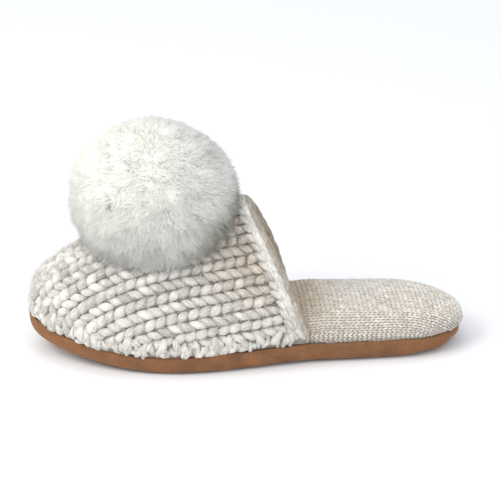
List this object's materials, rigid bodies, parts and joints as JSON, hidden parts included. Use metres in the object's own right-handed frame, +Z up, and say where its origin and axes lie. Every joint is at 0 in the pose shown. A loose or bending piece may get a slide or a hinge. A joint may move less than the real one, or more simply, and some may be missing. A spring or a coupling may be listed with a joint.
{
  "type": "slipper",
  "caption": "Left mule slipper: chunky knitted upper with a large fur pompom, thick knit-covered footbed and a turned-up suede sole, open at the heel.",
  "frame": {"origin": "on the floor under the middle of the heel, on the flat of the sole", "axes": "+X towards the heel end (the toe points along -X), -Y to the outer side of the foot, +Z up"},
  "size_m": [0.2534, 0.1033, 0.1406],
  "materials": {
    "suede": "tan brown suede, napped",
    "fine_knit": "fine heather beige knit",
    "chunky_knit": "off-white chunky wool knit",
    "fur": "off-white fur"
  },
  "bodies": {
    "root": {"sole": "suede", "footbed": "fine_knit", "upper": "chunky_knit", "pompom": "fur"}
  },
  "joints": []
}
